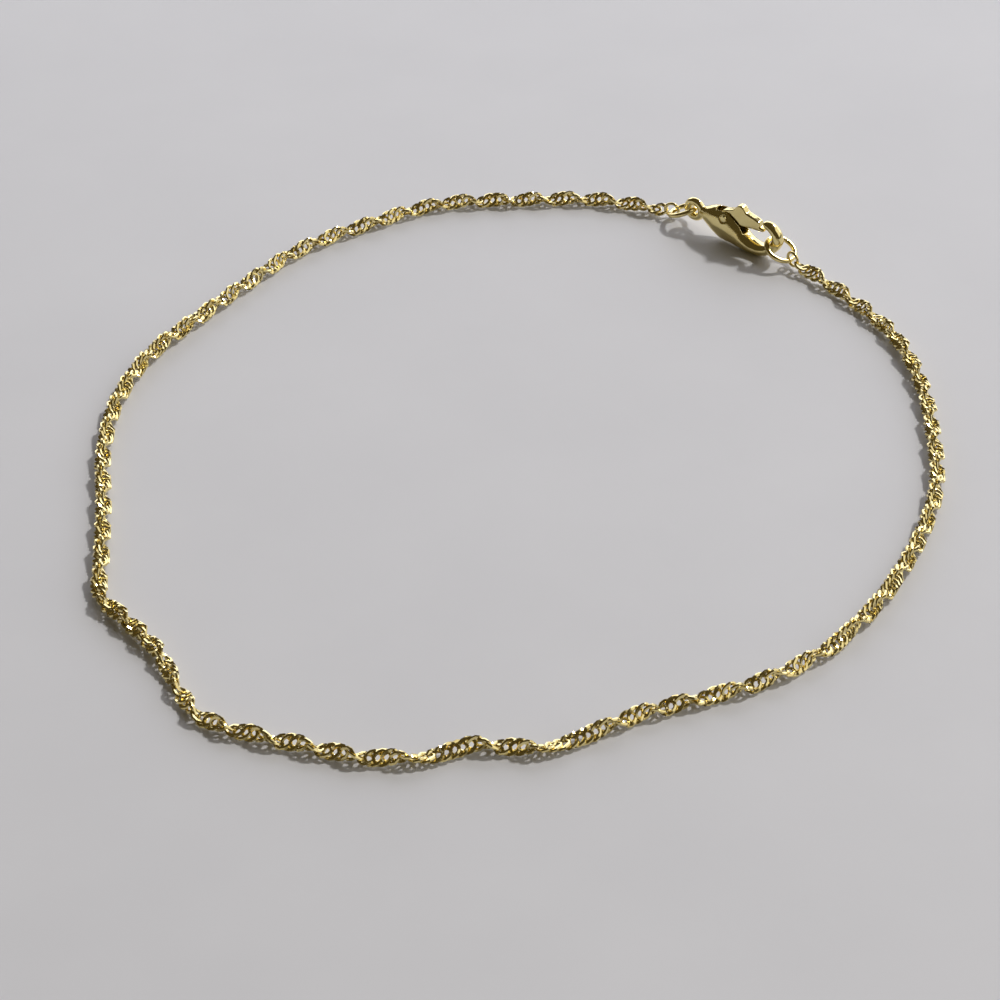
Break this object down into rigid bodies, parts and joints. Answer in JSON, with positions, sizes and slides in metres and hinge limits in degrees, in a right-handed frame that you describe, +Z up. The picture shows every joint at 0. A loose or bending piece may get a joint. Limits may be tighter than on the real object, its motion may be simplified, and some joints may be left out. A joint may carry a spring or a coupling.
{
  "type": "chain anklet",
  "caption": "Fine twisted gold chain anklet lying in a loose loop, closed by a lobster clasp whose sprung lever holds a jump ring at the other end.",
  "frame": {"origin": "on the surface that the anklet lies on, under the middle of its loop", "axes": "+Z up from the surface, +Y across the loop towards the side with the clasp, +X to the right"},
  "size_m": [0.076, 0.0867, 0.0048],
  "materials": {
    "chain_gold": "bright polished yellow gold, diamond cut links",
    "ring_gold": "polished yellow gold wire",
    "clasp_gold": "polished yellow gold casting"
  },
  "bodies": {
    "anklet": {"chain_left": "chain_gold", "chain_right": "chain_gold", "tail_ring": "ring_gold", "catch_ring": "ring_gold", "clasp_body": "clasp_gold", "clasp_rivet": "clasp_gold"},
    "lever": {"clasp_lever": "clasp_gold"}
  },
  "joints": [
    {"name": "lever_hinge", "type": "hinge", "parent": "anklet", "child": "lever", "pos_m": [0.02091, 0.03548, 0.00289], "axis": [0.6481, 0.7615, 0], "range_deg": [0, 16], "stiffness_Nm_per_rad": 0.00002, "springref_deg": -17.19}
  ]
}
